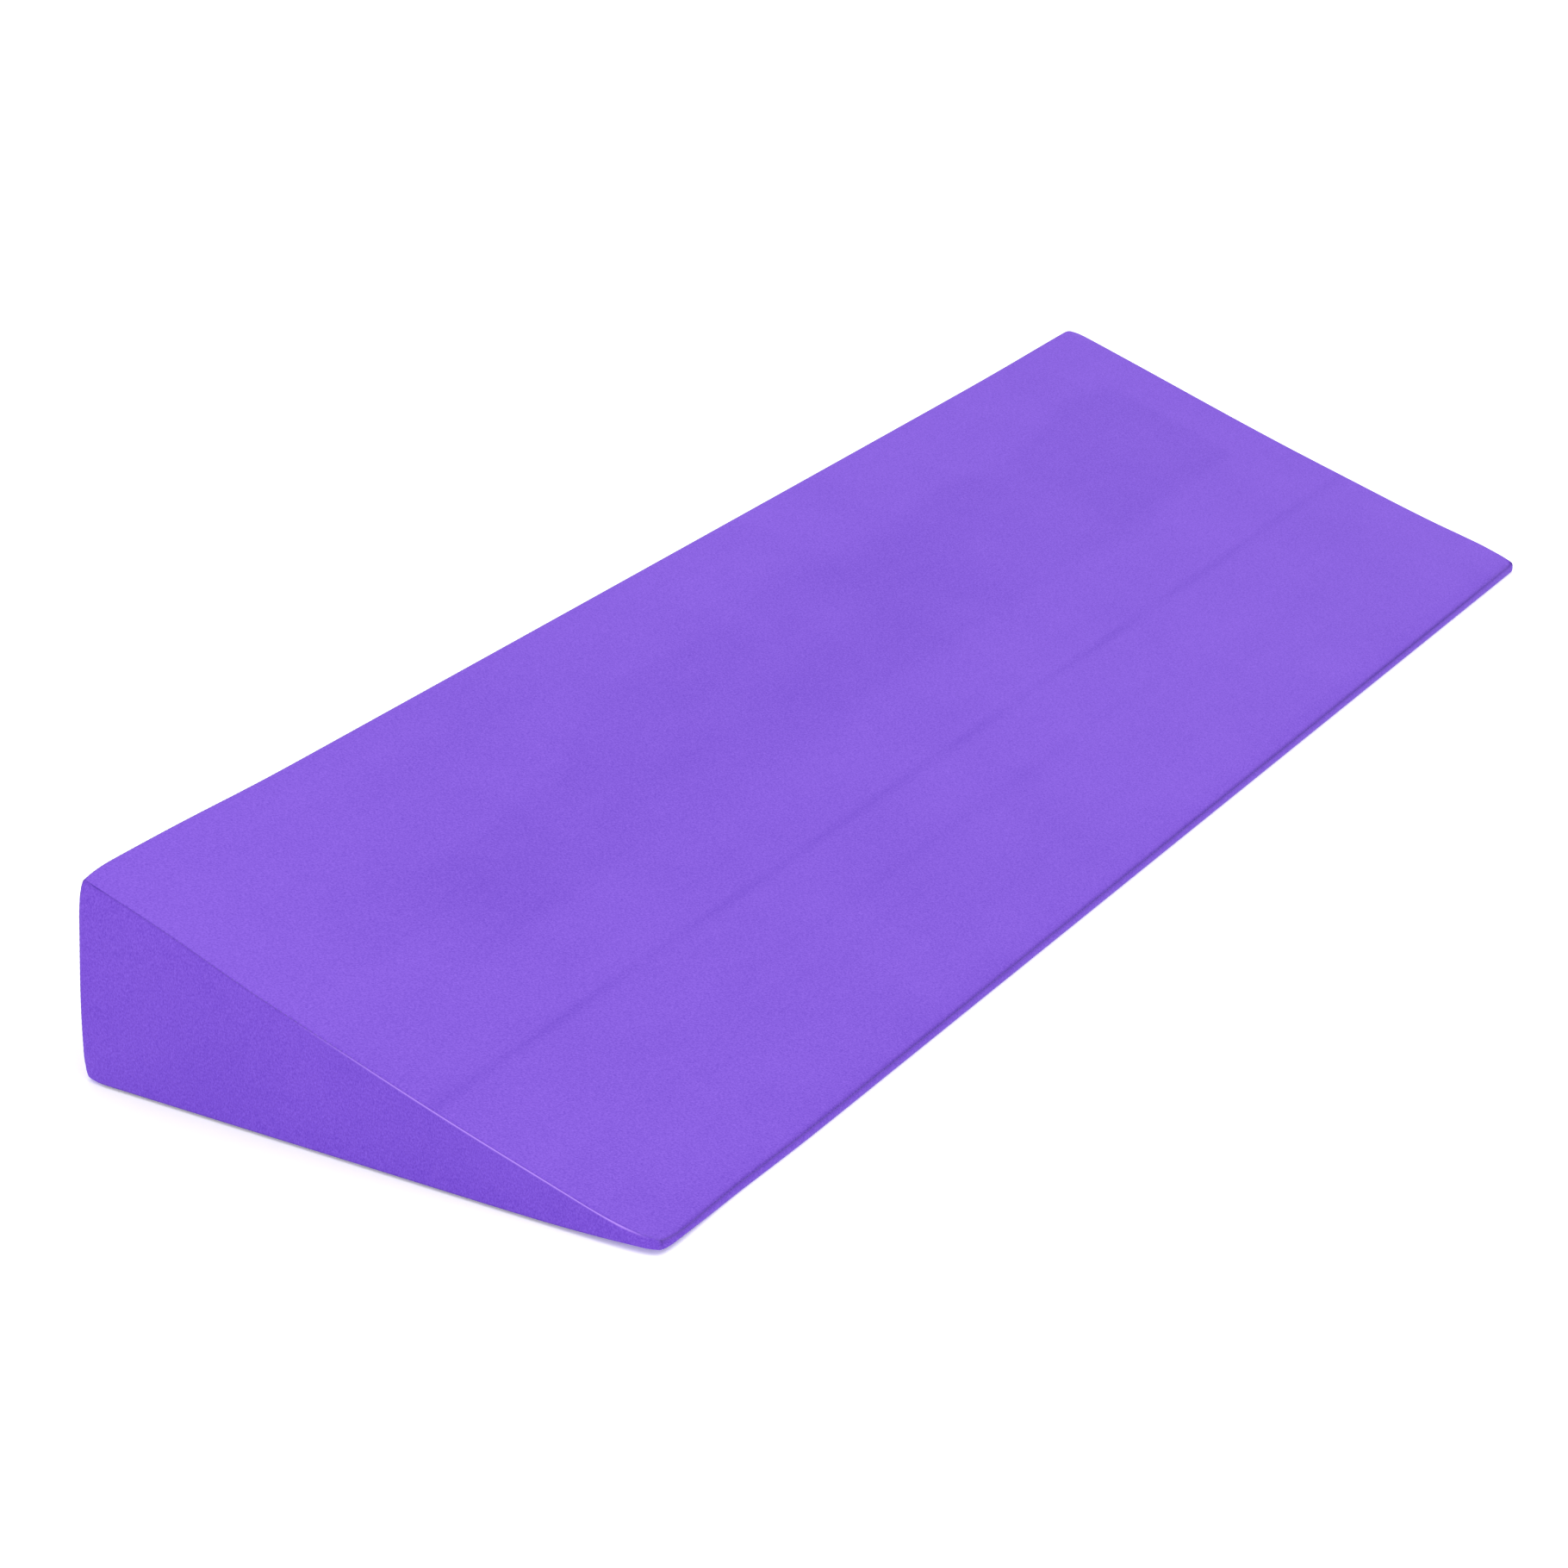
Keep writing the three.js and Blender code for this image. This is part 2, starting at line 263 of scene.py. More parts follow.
UP = np.array([0, -math.sin(slope), math.cos(slope)])
DOWN = np.array([0, 0, -1.0])
BACKWARD = np.array([0, 1.0, 0])
FORWARD = np.array([0, -1.0, 0])
ENDWARD = {"left": np.array([-1.0, 0, 0]), "right": np.array([1.0, 0, 0])}

# How far each corner is drawn in from the sharp corner of the wedge: along, across and up
KNOT = {
    "left_nose": np.array([5.4, 2.5, 1.2]) * MM,
    "left_top": np.array([4.4, -0.6, -0.3]) * MM,
    "left_foot": np.array([4.0, -1.2, 1.5]) * MM,
    "right_nose": np.array([-1.5, 0.8, 2.2]) * MM,
    "right_top": np.array([-3.2, -1.0, -0.4]) * MM,
    "right_foot": np.array([-3.6, -1.4, 1.6]) * MM,
}

# The share of a knot's pull that its grooves carry as well
KNOT_DIP = 0.08

# How far up each sloping edge the seam is still running out of the knot at the nose
NOSE_RUN = {"left": 40 * MM, "right": 10 * MM}


def fading(distance, reach):
    """1 at no distance, falling as a parabola to 0 at reach and beyond."""
    return (1 - np.clip(distance / reach, 0, 1)) ** 2


def rounding(distance, reach):
    """1 at no distance, falling as a quarter circle to 0 at reach and beyond."""
    return 1 - np.sqrt(1 - (1 - np.clip(distance / reach, 0, 1)) ** 2)


def bell(distance, width):
    """A bell curve: 1 at no distance and about a third at width."""
    return np.exp(-((distance / width) ** 2))


def halfway(first, second):
    """The inward way that lies evenly between two outward ones."""
    return -(first + second) / np.linalg.norm(first + second)


def seam(first, second, groove, knots, reaches, course, run=fading):
    """How a seam lies off the sharp edge between two flat panels, at each distance along it. Three
    parts: its own course, the run into the knot at each end, pointed or round, within that end's reach,
    and the dip that the stitching pulls in halfway between the two panels. The first and last die out
    into the knots."""
    dip = halfway(first, second) * groove

    def lie(along, length):
        start = run(along, reaches[0])[:, None]
        end = run(length - along, reaches[1])[:, None]
        free = 1 - start - end
        knot = knots[0] * start + knots[1] * end
        return course(along, length) * free, knot, dip * free + KNOT_DIP * knot

    return lie


def nose_course(along, length):
    """The nose seam lies on the edge and wavers, as the product of a short and a long sine. It rises a
    little beside the far knot, as a bell curve."""
    rise_height, rise_place, rise_width = 1.5 * MM, 30 * MM, 40 * MM
    waver_height, short_wave, long_wave = 0.25 * MM, 31 * MM, 77 * MM
    rise = rise_height * bell(length - along - rise_place, rise_width)
    waver = waver_height * np.sin(along / short_wave) * np.sin(along / long_wave + 1)
    return UP * (rise + waver)[:, None]


def crest_course(along, length):
    """The high seam stands up on the firm corners of the foam, as a flat-topped bell on the left and a
    bell on the right, and sags between them as a half sine."""
    left_height, left_width = 2.0 * MM, 115 * MM
    right_height, right_width = 1.5 * MM, 85 * MM
    sag_depth = 0.65 * MM
    stand = left_height * np.exp(-((along / left_width) ** 4))
    stand = stand + right_height * bell(length - along, right_width)
    sag = sag_depth * np.sin(math.pi * along / length)
    return -DOWN * (stand - sag)[:, None]


def foot_course(along, length):
    """The seam at the foot of the back stands the same small way off the floor all along."""
    off_floor = 0.4 * MM
    return off_floor * (np.ones_like(along)[:, None] * -DOWN)


def slope_course(side):
    """The seam down a sloping edge sags with the top, as a bell. On the left it is drawn up over the edge
    onto the slope near the back, as a flat-topped bell. On the right it stands a little above the edge,
    and more so near the nose, as a bell."""
    sag_depth, sag_middle, sag_width = {"left": (1.2, 205, 62), "right": (1.6, 150, 95)}[side]
    drawn_far, drawn_reach = 4.3 * MM, 80 * MM
    stand_everywhere, stand_more, stand_place, stand_width = 0.5, 2.0, 16 * MM, 34 * MM

    def course(along, length):
        from_back = length - along
        sag = sag_depth * MM * bell(from_back - sag_middle * MM, sag_width * MM)
        drawn = drawn_far * np.exp(-((from_back / drawn_reach) ** 3.5)) * (side == "left")
        stand = stand_everywhere + stand_more * bell(along - stand_place, stand_width)
        stand = MM * stand * (side == "right")
        return -ENDWARD[side] * drawn[:, None] + UP * (stand - sag)[:, None]

    return course


# At the foot of each end, the floor panel wraps up round the foam's edge to meet the end panel
WRAP_UP = 1.3 * MM
WRAP_OUT = 1.6 * MM


def eased_nose(point):
    """The thin nose is not quite straight. Its left corner curls up off the floor, as a bell of the
    distance from the corner, all of it at the floor and none at the slope; and beside that corner the
    whole edge is drawn back, as a bell along the mat that fades out a little way up the slope."""
    curl_height, curl_reach = 2.1 * MM, 38 * MM
    draw_depth, draw_place, draw_width, draw_reach = 1.2 * MM, 65 * MM, 42 * MM, 30 * MM
    from_left = point[..., 0] - left
    from_nose = np.maximum(point[..., 1] - nose, 0)
    curl = curl_height * bell(np.hypot(from_left, from_nose), curl_reach)
    drawn = draw_depth * bell(from_left - draw_place, draw_width) * fading(from_nose, draw_reach)
    roof = nose_top + from_nose * math.tan(slope)
    eased = point.copy()
    eased[..., 2] += curl * np.clip(1 - point[..., 2] / roof, 0, 1)
    eased[..., 1] += drawn
    return eased


def end_foot_course(side):
    """The seam round the foot of an end stands up off the floor and a little out. Both die away towards
    the nose, exponentially, as the wedge thins to its tip."""
    growth_length = 14 * MM

    def course(along, length):
        grown = 1 - np.exp(-np.maximum(along - nose_top, 0) / growth_length)
        return (WRAP_UP * -DOWN + WRAP_OUT * ENDWARD[side]) * grown[:, None]

    return course


def upright_course(side):
    """An upright back corner bows out a little, as a half sine squared, fullest below its middle."""
    bow_depth, lowered = 1.4 * MM, 0.75

    def course(along, length):
        bow = np.sin(math.pi * np.clip(along / length, 0, 1) ** lowered) ** 2
        return ENDWARD[side] * bow_depth * bow[:, None]

    return course


# Each seam: its two panels' outward ways, the depth of its groove, and at each end its knot and reach
SEAMS = {
    "nose": seam(
        UP, FORWARD, 0.9 * MM, (KNOT["left_nose"], KNOT["right_nose"]), (34 * MM, 9 * MM), nose_course
    ),
    "top_back": seam(
        UP, BACKWARD, 0.5 * MM, (KNOT["left_top"], KNOT["right_top"]), (26 * MM, 12 * MM), crest_course
    ),
    "bottom_back": seam(
        DOWN, BACKWARD, 0.8 * MM, (KNOT["left_foot"], KNOT["right_foot"]), (20 * MM, 20 * MM), foot_course
    ),
}
for end, way in ENDWARD.items():
    nose_knot, top_knot, foot_knot = (KNOT[end + corner] for corner in ("_nose", "_top", "_foot"))
    SEAMS["top_" + end] = seam(
        UP, way, 0.45 * MM, (nose_knot, top_knot), (NOSE_RUN[end], 16 * MM), slope_course(end)
    )
    SEAMS["bottom_" + end] = seam(
        DOWN, way, 0.35 * MM, (nose_knot, foot_knot), (34 * MM, 14 * MM), end_foot_course(end), rounding
    )
    SEAMS["back_" + end] = seam(
        BACKWARD, way, 0.6 * MM, (foot_knot, top_knot), (14 * MM, 19 * MM), upright_course(end), rounding
    )


# ----------------------------------------
# Suede cover: cloth and panels
# Six panels of 1.2 mm microfibre suede, brushed so that the nap lies in soft light and dark
# patches. Each is drawn flat over the foam and rolls over into its seams.
# ----------------------------------------

def suede_finish():
    """Brushed microfibre: nap patches, fine streaks along the mat and a fibre grain in the colour. The
    panels' own attributes say where the nap is lighter or darker, with painted light and shade mixed in,
    where a seam's crest has a painted highlight, and where painted shade darkens a groove."""
    place = new_finish("purple_suede")
    patches = clouds(place, 55 * MM, 3.0, 0.55)
    fields = clouds(place, 190 * MM, 2.0)
    streaks = clouds(drawn_out(place, (16, 1, 1)), 14 * MM, 2.0)
    grain = clouds(place, 1.0 * MM, 4.0, 0.75)
    fibres = clouds(drawn_out(place, (1, 2.5, 2.5), (0.3, 0.2, 0.9)), 0.45 * MM, 3.0, 0.65)
    number_out = 2
    nap_and_light, painted_highlight, painted_shade = (
        place.node("Attribute", {"attribute_name": name}, output=number_out)
        for name in ("nap_and_painted_light", "painted_highlight", "painted_shade")
    )
    for pattern, weight in ((patches, 0.24), (fields, 0.12), (streaks, 0.1), (grain, 1.6), (fibres, 1.5)):
        nap_and_light = nap_and_light + (pattern - 0.5) * weight

    deep, light = (0.130, 0.044, 0.515, 1), (0.254, 0.116, 0.722, 1)
    # Painted light and shade: a pale violet painted highlight for the seams' crests, and a dark violet for
    # painted shade in grooves.
    highlight_pale, painted_groove_shade = (0.50, 0.28, 0.95, 1), (0.050, 0.016, 0.170, 1)
    colour = mixed(painted_shade, mixed(painted_highlight, mixed(nap_and_light, deep, light), highlight_pale), painted_groove_shade)
    roughness = 0.9 + (nap_and_light - 0.5) * 0.12
    height = grain * 0.5 + fibres * 0.5 + patches * 0.4
    sockets = {
        "Specular IOR Level": 0.15,
        "Sheen Weight": 0.2,
        "Sheen Roughness": 0.5,
        "Sheen Tint": (0.75, 0.62, 1.0, 1),
    }
    return finished(place, "purple_suede", colour, roughness, raised(height, 0.22 * MM, 0.5), sockets)


def spaced(length, finest, widest, growth=1.3):
    """Distances from 0 to length: finest apart at both ends, each step growth times the last up to
    widest, and even in between."""
    steps = np.minimum(finest * growth ** np.arange(60.0), widest)
    steps = np.concatenate([steps, np.full(int(length / widest) + 2, widest)])
    half = np.concatenate([[0], np.cumsum(steps)])
    half = half[: np.searchsorted(half, length / 2) + 1]
    half = half * (length / 2 / half[-1])
    return np.concatenate([half, length - half[-2::-1]])


def wandering(x, y, size, seed):
    """A gentle unevenness between about -1 and 1: the sum of nine plane waves about size metres long,
    each with its own direction, length and start drawn from the seed."""
    draw = np.random.default_rng(seed)
    waves = 9
    total = np.zeros(np.broadcast(x, y).shape)
    for _ in range(waves):
        way, stretch, start = draw.uniform(0, math.tau), draw.uniform(0.7, 1.6), draw.uniform(0, math.tau)
        wave = math.tau / (size * stretch)
        total = total + np.sin(wave * (math.cos(way) * x + math.sin(way) * y) + start)
    return total / (waves / 2)


class Edge:
    """One edge of a panel: how its seam lies there, and how much of that each point of the panel
    follows. The course dies out within its own reach, the knots within a reach that grows with their
    pull, and the dip across the groove. Where the panel is narrow, room is its width there: the reach
    is cut to it, and a point follows this edge by how near it is to it."""

    KNOT_SPREAD = 2.4
    KNOT_REACH_MIN = 3 * MM

    def __init__(self, distance, lie, reach=5 * MM, profile=fading, groove=0.8 * MM, room=None):
        self.distance = distance
        self.course, self.knot, self.dip = lie
        knot_reach = np.maximum(self.KNOT_SPREAD * np.linalg.norm(self.knot, axis=-1), self.KNOT_REACH_MIN)
        self.course_share = self.share(profile, reach, room)
        self.knot_share = self.share(fading, knot_reach, room)
        self.dip_share = bell(distance, groove)[..., None]
        if room is not None:
            self.dip_share = self.dip_share * np.clip(1 - distance / room, 0, 1)[..., None]

    def share(self, profile, reach, room):
        if room is None:
            return profile(self.distance, reach)[..., None]
        narrow = 1 - np.clip(room / (2 * reach), 0, 1)
        near = np.clip(1 - self.distance / room, 0, 1)
        return (near * narrow + profile(self.distance, np.minimum(reach, room)) * (1 - narrow))[..., None]


def drawn_over(flat, edges, corners):
    """A flat panel drawn over to its seams. Each edge moves the cloth near it; at a corner both of its
    edges carry the knot, which is taken off once."""
    moved = flat
    for edge in edges:
        moved = moved + edge.course * edge.course_share
        moved = moved + edge.knot * edge.knot_share + edge.dip * edge.dip_share
    for first, second, knot in corners:
        moved = moved - KNOT[knot] * first.knot_share * second.knot_share
        moved = moved - KNOT_DIP * KNOT[knot] * first.dip_share * second.dip_share
    return moved


def mitre(*outward):
    """The way through the cloth that stays one thickness from every one of these faces."""
    return np.linalg.lstsq(np.array(outward), -np.ones(len(outward)), rcond=None)[0]


# A panel's hidden side turns to the mitre within this distance of a seam
MITRE_REACH = 3 * fabric


def cloth_back(face, outward, beside):
    """The hidden side of a panel: its face set one thickness in, turning to the mitre near each seam so
    that neighbouring panels meet without crossing."""
    way = np.broadcast_to(-outward, face.shape)
    for edge, neighbour in beside:
        way = way + fading(edge.distance, MITRE_REACH)[..., None] * (mitre(outward, neighbour) + outward)
    return face + fabric * way


def shell_faces(rows, columns):
    """The quads of a closed sheet: its face grid, its back grid turned over, and the rim between."""
    grid = np.arange(rows * columns).reshape(rows, columns)
    face = np.stack([grid[:-1, :-1], grid[1:, :-1], grid[1:, 1:], grid[:-1, 1:]], -1).reshape(-1, 4)
    under = face[:, ::-1] + rows * columns
    rim = np.concatenate([grid[0, :-1], grid[:-1, -1], grid[-1, :0:-1], grid[:0:-1, 0]])
    after = np.roll(rim, -1)
    walls = np.stack([rim, after, after + rows * columns, rim + rows * columns], -1)
    return np.concatenate([face, under, walls])


def put_sheet(name, face, under, material, **on_points):
    """A closed sheet, with what its finish reads, such as where shade is painted on the cloth, kept on its
    points.
    """
    rows, columns = face.shape[:2]
    points = np.concatenate([face.reshape(-1, 3), under.reshape(-1, 3)])
    sheet = put_mesh(name, points, shell_faces(rows, columns), [], material)
    for attribute, values in on_points.items():
        layer = sheet.data.attributes.new(attribute, "FLOAT", "POINT")
        both_sides = np.tile(np.broadcast_to(values, (rows, columns)).ravel(), 2)
        layer.data.foreach_set("value", np.clip(both_sides, 0, 1).astype(np.float32))
    return sheet


def sewn(panel, node):
    """What every cover panel shares: it rides on the cover, and its CAD part is hidden."""
    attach(panel, "cover")
    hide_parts(node)


def down_rows(lie):
    """A seam's lie for points down the rows of a panel."""
    return [part[:, None, :] for part in lie]


def along_columns(lie):
    """A seam's lie for points along the columns of a panel."""
    return [part[None, :, :] for part in lie]


def slope_sag(side, along):
    """How deep the top sags at a sloping edge: the part of that seam's course that is square to it."""
    return -SEAMS["top_" + side](along, slope_length)[0] @ UP


purple_suede = suede_finish()


def stepped(distance, width):
    """From 0 to 1 as the distance goes from minus to plus half the width, as a smooth S."""
    share = np.clip(distance / width + 0.5, 0, 1)
    return share * share * (3 - 2 * share)


def slope_nap_and_shade(u, v):
    """How the nap of the slope lies, at u along the mat and v up the slope, about one half, with painted
    shade mixed in. It is lower in a dark band along the mat, whose rims waver, lowest where that starts,
    and along the two lines that the cover was once folded on. Beside the nose it is painted darker, as
    shade where the cloth rolls over the edge. It is higher at the high left corner."""
    band_low, band_high, band_narrower, widens_at = 176 * MM, 268 * MM, 32 * MM, 295 * MM
    band_start, band_end = 125 * MM, 970 * MM
    waver = 7 * MM * wandering(u, 0 * v, 170 * MM, 13)
    high_rim = band_high - band_narrower * (1 - stepped(u - widens_at, 80 * MM)) + waver
    band = stepped(v - band_low - 0.5 * waver, 14 * MM) * stepped(high_rim - v, 12 * MM)
    band = band * stepped(u - band_start + 25 * MM, 110 * MM) * stepped(band_end - u, 10 * MM)
    blob = bell(np.hypot((u - band_start - 45 * MM) / 1.4, v - 205 * MM), 30 * MM)
    nose_roll_shade = bell(v, 9 * MM)
    dark = band * (0.75 + 0.25 * u / mat_length) + 0.5 * blob + 0.8 * nose_roll_shade

    # The higher fold line runs the whole mat, and the lower one only its middle
    lower_reach = stepped(u - 280 * MM, 80 * MM) * stepped(670 * MM - u, 80 * MM)
    strength = 0.7 + 0.3 * wandering(u, 0 * v, 90 * MM, 14)
    sway = 0.6 * MM * wandering(u, 0 * v, 240 * MM, 15)
    for height, weight, reach in ((121 * MM, 2.4, 1.0), (81 * MM, 1.2, lower_reach)):
        dark = dark + weight * bell(v - height - sway, 2.4 * MM) * strength * reach

    left_corner = bell(np.hypot(u, v - slope_length), 80 * MM)
    far_spot = bell(np.hypot((u - 720 * MM) / 1.5, v - 305 * MM), 35 * MM)
    pale = 1.5 * left_corner + 0.35 * far_spot + 0.22 * wandering(u, v, 110 * MM, 16)
    return 0.53 - 0.1 * dark + 0.08 * pale


def top_panel():
    """The slope: a flat grid drawn over to its four seams. It sags with the seams of its sloping edges,
    and has a slight unevenness that dies out towards all four."""
    u = spaced(mat_length, 0.3 * MM, 2.6 * MM)[:, None]
    v = spaced(slope_length, 0.3 * MM, 4.5 * MM)[None, :]
    ones = np.ones((u.size, v.size))
    y, z = nose + v * math.cos(slope), nose_top + v * math.sin(slope)
    flat = eased_nose(np.stack([(left + u) * ones, y * ones, z * ones], -1))
    at_left = Edge(u * ones, along_columns(SEAMS["top_left"](v[0], slope_length)), 10 * MM)
    at_right = Edge((mat_length - u) * ones, along_columns(SEAMS["top_right"](v[0], slope_length)), 10 * MM)
    at_nose = Edge(v * ones, down_rows(SEAMS["nose"](u[:, 0], mat_length)), 14 * MM, groove=1.2 * MM)
    at_crest = Edge((slope_length - v) * ones, down_rows(SEAMS["top_back"](u[:, 0], mat_length)), 45 * MM)
    edges = [at_left, at_right, at_nose, at_crest]
    corners = [
        (at_left, at_nose, "left_nose"), (at_left, at_crest, "left_top"),
        (at_right, at_nose, "right_nose"), (at_right, at_crest, "right_top"),
    ]
    face = drawn_over(flat, edges, corners)
    share = u / mat_length
    dish = slope_sag("left", v[0])[None] * (1 - share) + slope_sag("right", v[0])[None] * share
    dish = dish * (1 - at_left.course_share[..., 0]) * (1 - at_right.course_share[..., 0])
    settled = 1 - fading(np.minimum.reduce([edge.distance for edge in edges]), 40 * MM)
    uneven = 0.35 * wandering(u, v, 210 * MM, 11) + 0.12 * wandering(u, v, 60 * MM, 12)
    face = face + UP * (uneven * settled * MM - dish)[..., None]
    # Painted shade along the groove of the nose seam.
    painted_shade = 0.22 * bell(at_nose.distance, 1.7 * MM)
    finish = {"painted_shade": painted_shade, "painted_highlight": 0.0, "nap_and_painted_light": slope_nap_and_shade(u, v)}
    beside = [
        (at_left, ENDWARD["left"]), (at_right, ENDWARD["right"]), (at_nose, FORWARD), (at_crest, BACKWARD),
    ]
    return put_sheet("slope_panel", face, cloth_back(face, UP, beside), purple_suede, **finish)


sewn(top_panel(), "top_panel")


# The floor panel comes up round the nose in a roll that swells a little past the edge
ROLL_UP = nose_top / 2
ROLL_OUT = 1.1 * MM
ROLL_PATH = math.pi * ROLL_UP
WRAP_PATH = ROLL_PATH + mat_depth


def wrap_line(path):
    """The floor panel's line from the nose seam: a half oval round the nose, then straight back along
    the floor. Gives across and up, and the outward way, at each distance along it."""
    turn = np.clip(path / ROLL_UP, 0, math.pi)
    y = nose - ROLL_OUT * np.sin(turn) + np.maximum(path - ROLL_PATH, 0)
    z = ROLL_UP * (1 + np.cos(turn))
    return y, z, np.stack([np.zeros_like(turn), -np.sin(turn), np.cos(turn)], -1)


def floor_panel():
    """The floor panel: a grid that follows the wrap line, drawn over to its seams. The underside lies
    flat on the floor except where it wraps up to meet them."""
    u = spaced(mat_length, 0.2 * MM, 3.2 * MM)[:, None]
    roll = np.linspace(0, ROLL_PATH, 18)
    path = np.concatenate([roll[:-1], ROLL_PATH + spaced(mat_depth, 0.3 * MM, 6 * MM)])
    y, z, outward = wrap_line(path)
    ones = np.ones((u.size, path.size))
    flat = eased_nose(np.stack([(left + u) * ones, y[None, :] * ones, z[None, :] * ones], -1))
    v = path[None, :] * ones
    sides = {end: along_columns(SEAMS["bottom_" + end](path, WRAP_PATH)) for end in ("left", "right")}
    at_left = Edge(u * ones, sides["left"], WRAP_UP, rounding)
    at_right = Edge((mat_length - u) * ones, sides["right"], WRAP_UP, rounding)
    at_nose = Edge(v, down_rows(SEAMS["nose"](u[:, 0], mat_length)), 3 * MM, groove=0.6 * MM)
    at_foot = Edge(WRAP_PATH - v, down_rows(SEAMS["bottom_back"](u[:, 0], mat_length)))
    corners = [
        (at_left, at_nose, "left_nose"), (at_left, at_foot, "left_foot"),
        (at_right, at_nose, "right_nose"), (at_right, at_foot, "right_foot"),
    ]
    face = drawn_over(flat, [at_left, at_right, at_nose, at_foot], corners)
    face[..., 2] = np.maximum(face[..., 2], 0)
    low_u, high_u, high_v = (fading(e.distance, MITRE_REACH)[..., None] for e in (at_left, at_right, at_foot))
    way = -outward[None, :, :] - low_u * ENDWARD["left"] - high_u * ENDWARD["right"] - high_v * BACKWARD
    # Painted shade along the groove of the nose seam.
    groove = 0.35 * bell(at_nose.distance, 1.5 * MM)

    # The turned-up cloth along the foot of each end is painted dark as shade: deeper away from the nose,
    # deepest near the back, and gone just before the back corner
    from_side, from_foot = np.minimum(at_left.distance, at_right.distance), WRAP_PATH - v
    shade = 0.85 * stepped(v - 45 * MM, 70 * MM) + 0.1 * stepped(105 * MM - from_foot, 20 * MM)
    shade = shade * (1 - stepped(from_side - 2 * WRAP_UP, 2 * MM)) * stepped(from_foot - 9 * MM, 8 * MM)
    # The nap is painted darker round the roll at the nose, as shade.
    nap_and_painted_light = 0.25 + 0.25 * stepped(v - 2 * ROLL_PATH, 2 * ROLL_PATH)
    finish = {"painted_shade": np.maximum(groove, shade), "painted_highlight": 0.0, "nap_and_painted_light": nap_and_painted_light}
    return put_sheet("floor_panel", face, face + fabric * way, purple_suede, **finish)


sewn(floor_panel(), "bottom_panel")


def end_panel(side):
    """An end: a grid of columns that fan out from the knot at the nose, each from the wrap line below
    to the slope above, drawn over to its seams. The lower half of the sloping seam has a thin raised
    crest just under it, with a pale painted highlight along it, and the upper half a faint painted shade
    along its groove."""
    outward = ENDWARD[side]
    roll = np.linspace(0.15 * MM, ROLL_PATH, 18)
    path = np.concatenate([roll[:-1], ROLL_PATH + spaced(mat_depth, 0.4 * MM, 3.2 * MM)])
    share = (spaced(crest, 0.3 * MM, 3.0 * MM) / crest)[None, :]
    foot_y, foot_z, _ = wrap_line(path)
    roof_along = path * slope_length / WRAP_PATH
    roof_y, roof_z = nose + roof_along * math.cos(slope), nose_top + roof_along * math.sin(slope)
    y = foot_y[:, None] * (1 - share) + roof_y[:, None] * share
    z = foot_z[:, None] * (1 - share) + roof_z[:, None] * share
    x = np.full(y.shape, left if side == "left" else right)
    flat = eased_nose(np.stack([x, y, z], -1))
    height = np.hypot(roof_y - foot_y, roof_z - foot_z)[:, None]
    room = height * math.cos(slope)
    back_lie = along_columns(SEAMS["back_" + side](z[-1], crest))
    foot_lie = down_rows(SEAMS["bottom_" + side](path, WRAP_PATH))
    roof_lie = down_rows(SEAMS["top_" + side](roof_along, slope_length))
    at_back = Edge(np.maximum(back - y, 0), back_lie, 25 * MM)
    at_foot = Edge(share * height, foot_lie, 12 * MM, groove=0.6 * MM, room=height)
    at_roof = Edge((1 - share) * room, roof_lie, 22 * MM, room=room)
    edges = [at_back, at_foot, at_roof]
    corners = [(at_back, at_foot, side + "_foot"), (at_back, at_roof, side + "_top")]
    face = drawn_over(flat, edges, corners)
    settled = 1 - fading(np.minimum.reduce([edge.distance for edge in edges]), 22 * MM)
    seed = len(side)
    uneven = 0.4 * wandering(y, z, 120 * MM, 21 + seed) + 0.1 * wandering(y, z, 35 * MM, 31 + seed)
    ridge_below, ridge_width, ridge_height = 0.7 * MM, 0.42 * MM, 0.38 * MM
    lower_half = stepped(roof_along - 14 * MM, 20 * MM) * stepped(0.52 * slope_length - roof_along, 90 * MM)
    upper_half = stepped(roof_along - 0.6 * slope_length, 60 * MM)
    ridge = bell(at_roof.distance - ridge_below, ridge_width) * lower_half[:, None]
    face = face + outward * (uneven * settled * MM)[..., None]
    face = face + (outward + UP) * (ridge_height * ridge)[..., None]
    # Painted shade: a faint dark band along the groove of the upper half of the sloping seam, and along the
    # foot seam.
    grooved = 0.2 * bell(at_roof.distance, 0.8 * MM) * upper_half[:, None]
    painted_shade = np.maximum(0.25 * bell(at_foot.distance, 0.9 * MM), grooved)
    # Painted shade and light: the end's nap is set darker than the slope's, and lighter towards the high back
    # corner.
    nap_and_painted_light = 0.33 + 0.08 * stepped(roof_along - 0.72 * slope_length, 160 * MM)[:, None]
    under = cloth_back(face, outward, [(at_back, BACKWARD), (at_foot, DOWN), (at_roof, UP)])
    # The pale crest is a painted highlight on the raised ridge.
    finish = {"painted_shade": painted_shade, "painted_highlight": 0.95 * ridge, "nap_and_painted_light": nap_and_painted_light}
    panel = put_sheet(side + "_end", face, under, purple_suede, **finish)
    sewn(panel, side + "_end_panel")


end_panel("left")
end_panel("right")


# ----------------------------------------
# Back face
# Two suede strips, each hemmed along the zip: the edge is folded under and topstitched down on the
# zip tape, so the hem stands a little proud and each stitch draws it in.
# ----------------------------------------

STITCH = 3.2 * MM
HEM_WIDTH = 9 * MM
HEM_RISE = 0.45 * MM
FOLD_ROUND = 0.9 * MM
PINCH = 0.28 * MM
PUCKER = 0.10 * MM
fold_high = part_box("back_panel_upper")[0].z
fold_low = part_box("back_panel_lower")[1].z
zip_middle = (fold_high + fold_low) / 2
stitch_low, stitch_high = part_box("zip_stitching_upper")
row_from_fold = (stitch_low.z + stitch_high.z) / 2 - fold_high


